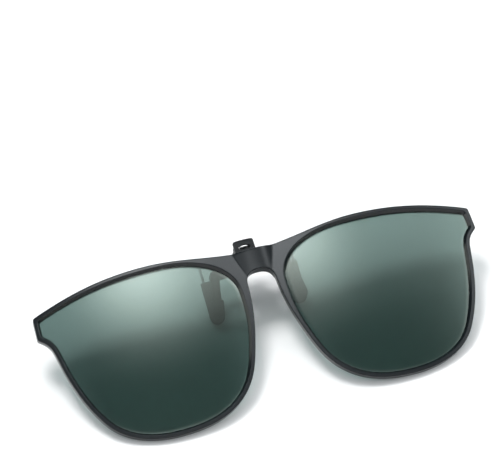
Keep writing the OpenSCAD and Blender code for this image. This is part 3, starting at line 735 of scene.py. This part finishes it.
# Front pads and rear sleeves. Soft dark rubber: a pad is slipped over the end of each moulded leg, and a
# longer sleeve over the loop at the end of each wire. They are flat, with round sides and a round end.
pad_len, pad_w, pad_t = 6.4, 4.4, 2.9
grip_x, wire_y, wire_z = 14, 13.9, 56.5
sleeve_len, sleeve_w, sleeve_t = 12.6, 4.8, 3.2
wire_len, wire_r, loop_r = 18.6, 0.5, 1.3
pad_rim_r, pad_fullness = 0.45, 0.78
throat_share, throat_depth = np.array([0, 0.55]), np.array([1.2, 0.4])
pad_finish = moulded(
    "pad_rubber", (0.04, 0.042, 0.044), (0.06, 0.062, 0.065), (0.085, 0.087, 0.09),
    rough=0.7, grain=0.00016, bump=0.5)


def oval(v):
    """A cosine or sine made fuller, by a power below 1 of its size, for a section between an ellipse and a
    box."""
    return np.sign(v) * np.abs(v) ** pad_fullness


def rubber_pad(top, end, w, t, place, turn):
    """A flat pad down a leg's own -z from top to end. Its section is an oval of half width a and half
    thickness b: a throat round the leg, a rounded rim, the full section along the pad, and a round lower
    end, where b follows a circle of its own once the end is narrower than the pad is thick."""
    low = end - w / 2
    rim = np.radians(np.linspace(0, 90, 7))
    body = np.linspace(0, 1, 24)[1:]
    tail = np.radians(np.linspace(0, 90, 20))[1:]
    rim_in = pad_rim_r * (1 - np.cos(rim))[::-1]
    past = np.maximum(w / 2 * np.sin(tail) - (w - t) / 2, 0)
    depth = np.concatenate([
        top + throat_depth, top + pad_rim_r * (1 - np.sin(rim)),
        top + pad_rim_r + (low - top - pad_rim_r) * body, low + w / 2 * np.sin(tail)])
    a = np.concatenate([throat_share * w / 2, w / 2 - rim_in, w / 2 + 0 * body, w / 2 * np.cos(tail)])
    b = np.concatenate([throat_share * t / 2, t / 2 - rim_in, t / 2 + 0 * body,
                        np.sqrt(np.maximum((t / 2) ** 2 - past**2, 0))])
    angle = np.linspace(0, 2 * math.pi, 65)[:, None]
    angle[-1] = 0
    own = np.broadcast_arrays(a * oval(np.cos(angle)), b * oval(np.sin(angle)), -depth)
    return np.stack(own, -1) @ turn.T + np.array(place)


for side, name in ((1, "right"), (-1, "left")):
    mirror = np.array([side, 1, 1])
    pad = rubber_pad(leg_len + 1 - pad_len, leg_len + 1, pad_w, pad_t,
                     arm_place, leg_turn(leg_lean, leg_splay))
    make_piece("leg_pad_" + name, weld([pad * mirror]), pad_finish, "clip_base", "pad_rubber",
               "front_pad_" + name)
    sleeve = rubber_pad(wire_len - sleeve_len, wire_len + sleeve_t / 2, sleeve_w, sleeve_t,
                        (grip_x, wire_y, wire_z), leg_turn(leg_lean, 0))
    make_piece("wire_sleeve_" + name, weld([sleeve * mirror]), pad_finish, "rear_jaw", "pad_rubber",
               "rear_sleeve_" + name)

# Thumb lever and jaw pin. The lever is the rear jaw: a moulded tab with a slot to press on, two cheeks, and
# a block behind that the wires are set in. It turns on a steel pin through the clip body's ears.
tab_half_w, tab_y, tab_z, tab_corner = 3.45, (9.0, 10.1), (56.1, 59.9), 0.9
slot_half_w, slot_z, slot_arch_r, tab_arch_r = 1.95, (56.7, 58.15), 3.6, 20
rim_in, rim_deep = 0.42, 0.12
cheek_x, block_y, block_z = (2.5, 3.3), (13.1, 14.7), (55.5, 57.91)
pin_r, pin_edge = 0.6, 0.1


def lever(p):
    """Distance to the tab, with a slightly arched top, round upper corners, a raised rim and an arched
    slot, to the cheeks round the pin and to the block behind."""
    jaw = worn_axes["jaw"]
    p = np.stack([np.abs(p[..., 0]), p[..., 1], p[..., 2]], -1)
    tab = block(p, (-tab_half_w, tab_y[0], tab_z[0]), (tab_half_w, tab_y[1], tab_z[1]), 0.2)
    corner = np.stack([p[..., 1], p[..., 0], p[..., 2]], -1)
    corner = rod(corner, *tab_y, (tab_half_w - tab_corner, tab_z[1] - tab_corner), tab_corner, 0.2)
    outer = (p[..., 0] > tab_half_w - tab_corner) & (p[..., 2] > tab_z[1] - tab_corner)
    tab = np.where(outer, corner, tab)
    tab = np.maximum(tab, np.hypot(p[..., 0], p[..., 2] - tab_z[1] + tab_arch_r) - tab_arch_r)
    cheek = rod(p, *cheek_x, jaw, jaw_end_r, 0.12)
    fore = block(p, (cheek_x[0], tab_y[0], tab_z[0]), (cheek_x[1], jaw[0], jaw[1] + 1), 0.12)
    aft = block(p, (cheek_x[0], jaw[0], block_z[0]), (cheek_x[1], block_y[1], jaw[1] + 0.4), 0.12)
    cheek = join(join(cheek, fore, 0.15), aft, 0.15)
    heel = block(p, (-cheek_x[1], block_y[0], block_z[0]), (cheek_x[1], block_y[1], block_z[1]), 0.18)
    solid = join(join(tab, cheek, 0.25), heel, 0.25)
    dish = block(p, (rim_in - tab_half_w, tab_y[0] - 1, tab_z[0] - 1),
                 (tab_half_w - rim_in, tab_y[0] + rim_deep, tab_z[1] - rim_in - 0.1), 0.1)
    solid = cut(solid, dish, 0.08)
    slot = block(p, (-slot_half_w, tab_y[0] - 1, slot_z[0]),
                 (slot_half_w, tab_y[1] + 1, slot_z[1] + 1), 0.25)
    slot = np.maximum(slot, np.hypot(p[..., 0], p[..., 2] - slot_z[1] + slot_arch_r) - slot_arch_r)
    return cut(solid, slot, 0.1)


lever_skin = skin(lever, (-3.8, 8.7, 55.2), (3.8, 15, 60.2), 0.08)
make_piece("thumb_tab_lever", lever_skin, clip_finish, "rear_jaw", "clip_plastic", "thumb_lever")
end = cheek_x[1]
pin = turned([(0, -end), (pin_r - pin_edge, -end), (pin_r, pin_edge - end), (pin_r, end - pin_edge),
              (pin_r - pin_edge, end), (0, end)])
y, z = worn_axes["jaw"]
pin = np.stack([pin[..., 2], y + pin[..., 0], z + pin[..., 1]], -1)
make_piece("jaw_hinge_pin", weld([pin]), steel_finish, "rear_jaw", "steel", "jaw_pin")

# Rear wires. One spring-steel wire a side: straight out of the lever's block, round a bend and down, then
# round a hairpin loop and up again inside the sleeve.
wire_start_x = 0.52


def tube(path, r, level, sides=14):
    """A round wire along a path: at each point a circle square to the path, measured from a level
    direction, and at both ends two smaller circles that round the cut end."""
    step = np.gradient(path, axis=0)
    step /= np.linalg.norm(step, axis=1)[:, None]
    ends = ([(0, 0.0, 0.0), (0, 0.0, 0.7), (0, 0.3, 1.0)],
            [(-1, 0.3, 1.0), (-1, 0.0, 0.7), (-1, 0.0, 0.0)])
    caps = [(np.stack([path[k] + (r * back if k == 0 else -r * back) * step[k] for k, back, _ in cap]),
             np.stack([step[k] for k, _, _ in cap]), [share for _, _, share in cap]) for cap in ends]
    path = np.concatenate([caps[0][0], path[2:-2], caps[1][0]])
    along = np.concatenate([caps[0][1], step[2:-2], caps[1][1]])
    size = np.concatenate([caps[0][2], np.ones(len(step) - 4), caps[1][2]]) * r
    one = np.array(level) - (along @ np.array(level))[:, None] * along
    one /= np.linalg.norm(one, axis=1)[:, None]
    two = np.cross(along, one)
    angle = np.linspace(0, 2 * math.pi, sides + 1)
    angle[-1] = 0
    ring = np.cos(angle)[None, :, None] * one[:, None] + np.sin(angle)[None, :, None] * two[:, None]
    return path[:, None] + size[:, None, None] * ring


def wire_path():
    """Points of a wire in its own leaning plane, then as worn: along x, a quarter bend, straight down,
    half a turn and straight up."""
    low = wire_len - (sleeve_w - sleeve_t) / 2
    quarter, half_turn = np.linspace(0, math.pi / 2, 13), np.linspace(0, math.pi, 25)
    x = np.concatenate([
        np.linspace(wire_start_x - grip_x, 0, 30)[:-1], loop_r * np.sin(quarter), np.full(28, loop_r),
        loop_r * np.cos(half_turn), np.full(18, -loop_r)])
    z = np.concatenate([
        np.zeros(29), loop_r * (np.cos(quarter) - 1), np.linspace(-loop_r, -low, 30)[1:-1],
        -low - loop_r * np.sin(half_turn), np.linspace(-low, -low + sleeve_len - 2, 19)[1:]])
    own = np.stack([x, 0 * x, z], -1)
    return own @ leg_turn(leg_lean, 0).T + np.array([grip_x, wire_y, wire_z])


level = leg_turn(leg_lean, 0)[:, 1]
for side, name in ((1, "right"), (-1, "left")):
    wire = tube(wire_path(), wire_r, level) * np.array([side, 1, 1])
    make_piece("jaw_wire_" + name, weld([wire]), steel_finish, "rear_jaw", "steel", "rear_wire_" + name)

# Torsion spring. Fine steel wire wound four turns round the jaw pin between the clip body's ears. One leg
# pushes on the body and the other on the lever's block, so the coil winds up as the jaw opens.
spring_r, coil_r, coil_turns = 0.22, 1.05, 4
coil_x = 1.3 - spring_r
last = math.radians(360 * coil_turns + 90)
wind = np.linspace(0, last, 170)
y, z = worn_axes["jaw"]
coil = [coil_x * (2 * wind / last - 1), y - coil_r * np.cos(wind), z + coil_r * np.sin(wind)]
coil = np.stack(coil, -1)
low_leg = coil[:1] - np.linspace(z - body_z[1] + 1.2, 0.2, 14)[:, None] * np.array([0, 0, 1])
back_leg = coil[-1:] + np.linspace(0.2, block_y[1] - y - 0.3, 12)[:, None] * np.array([0, 1, 0])
spring = tube(np.concatenate([low_leg, coil, back_leg]), spring_r, (1, 0, 0), 10)
# The spring is drawn in dark steel, and its darkness also stands in for the shade inside the tab's slot,
# where it shows through: partly painted shade.
spring_finish = drawn_steel("black_steel_and_slot_shade", (0.02, 0.02, 0.022), (0.05, 0.05, 0.053), 0.3)
wound = make_piece("closing_spring", weld([spring]), spring_finish, None, "steel", "torsion_spring")
coil_ends = laid(np.array([[coil_x, y, z], [-coil_x, y, z]]))
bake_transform(wound)

# Floor. A plain sheet of matt white board that the object lies on. It is spread flat, and reaches far past
# the view on all sides.
reach = 3.0
corners = [(-reach, -reach, 0), (reach, -reach, 0), (reach, reach, 0), (-reach, reach, 0)]
floor_mesh = bpy.data.meshes.new("floor")
floor_mesh.from_pydata(corners, [], [(0, 1, 2, 3)])
floor = bpy.data.objects.new("floor", floor_mesh)
bpy.context.scene.collection.objects.link(floor)
floor_finish, tree = new_finish("floor_white")
surface = tree.add("ShaderNodeBsdfDiffuse", {}, {"Color": (0.93, 0.93, 0.93, 1)})
tree.add("ShaderNodeOutputMaterial", {}, {"Surface": surface})
floor_mesh.materials.append(floor_finish)

# Studio light. A wide dome, a softbox and a key lamp behind light the floor and the object from above, an
# uneven lightbox over the front shows as soft glows in the lenses and on the rims, a pale card stands on
# each side, and the room is dim and bluish.
# The lightbox's bells: middle x and y, spread in x and in y, and share
bells = [
    (0.031, -0.02, 0.045, 0.025, 1.03), (0.215, -0.02, 0.045, 0.025, 0.88),
    (0.125, -0.02, 0.04, 0.025, 0.22), (0.36, -0.02, 0.09, 0.03, 0.12), (0.55, -0.06, 0.07, 0.1, 0.44),
    (-0.02, -0.23, 0.08, 0.045, 0.06), (0.06, -0.26, 0.24, 0.055, 0.24), (-0.5, -0.25, 0.2, 0.06, 0.16),
    (0.85, -0.25, 0.3, 0.06, 0.12), (0.047, 0.085, 0.035, 0.03, 0.8),
]
card_lean = math.radians(80)
room_colour, room_strength = (0.78, 0.93, 1, 1), 0.22


def lamp(name, place, size, watts, bells=(), shows=True, lights=True, lean=0.0, colour=(1, 1, 1)):
    """An area light that looks straight down, or leans to one side. It may light matt surfaces, show in
    glossy ones, or both. With bells its face is uneven: a sum of bell curves, each given as its middle's x
    and y and its spread both ways, in metres, and its share."""
    light = bpy.data.lights.new(name, "AREA")
    light.shape, light.size, light.size_y, light.energy = "RECTANGLE", *size, watts
    light.color = colour
    if bells:
        light.use_nodes = True
        light.node_tree.nodes.clear()
        tree = Wire(light.node_tree)
        spot = tree.add("ShaderNodeNewGeometry", output="Parametric")
        parts = tree.add("ShaderNodeSeparateXYZ", {}, {"Vector": spot})
        u, v = parts, Wire(tree.tree, parts.socket.node.outputs[1])
        total = None
        for x, y, spread_x, spread_y, share in bells:
            across = (u - ((x - place[0]) / size[0] + 0.5)) * (size[0] / spread_x)
            along = (v - ((y - place[1]) / size[1] + 0.5)) * (size[1] / spread_y)
            bell = tree.math("EXPONENT", (across * across + along * along) * -0.5) * share
            total = bell if total is None else total + bell
        shine = tree.add("ShaderNodeEmission", {}, {"Strength": total})
        tree.add("ShaderNodeOutputLight", {}, {"Surface": shine})
    item = bpy.data.objects.new(name, light)
    item.location, item.rotation_euler = place, (0, lean, 0)
    item.visible_camera, item.visible_glossy, item.visible_diffuse = False, shows, lights
    bpy.context.scene.collection.objects.link(item)


lamp("dome", (0, 0, 1.6), (4, 4), 46, shows=False)
lamp("softbox", (0.1, 0.36, 0.85), (0.7, 0.62), 1, shows=False)
lamp("key", (-0.18, 0.39, 0.9), (0.3, 0.34), 6, shows=False)
lamp("lightbox", (0.2, -0.1, 0.8), (2.0, 0.6), 40, bells, lights=False, colour=(0.92, 0.97, 1))
lamp("card_right", (0.9, 0.1, 0.35), (0.5, 0.5), 1.6, lean=card_lean)
lamp("card_left", (-0.9, 0.22, 0.3), (0.5, 0.7), 2.7, lights=False, lean=-card_lean)
room = bpy.data.worlds.new("room")
room.use_nodes = True
room.node_tree.nodes["Background"].inputs["Color"].default_value = room_colour
room.node_tree.nodes["Background"].inputs["Strength"].default_value = room_strength
bpy.context.scene.world = room
bpy.context.scene.view_settings.view_transform = "Standard"

# Camera. A long lens at the viewing angle of the photograph, well back from the object. It is aimed at a
# point just above the bridge.
look_at = np.array([0.00116, 0.024591, 0.024781])
azimuth, elevation = math.radians(-18.76), math.radians(48.302)
distance, focal_mm, sensor_mm = 0.88496, 199.1, 36
level_back = math.cos(elevation)
back = np.array([math.sin(azimuth) * level_back, -math.cos(azimuth) * level_back, math.sin(elevation)])
camera = bpy.data.objects.new("camera", bpy.data.cameras.new("camera"))
camera.data.sensor_fit, camera.data.sensor_width, camera.data.lens = "HORIZONTAL", sensor_mm, focal_mm
camera.data.clip_start = 0.01
camera.location = look_at + distance * back
camera.rotation_euler = (math.pi / 2 - elevation, 0, azimuth)
bpy.context.scene.collection.objects.link(camera)
bpy.context.scene.camera = camera
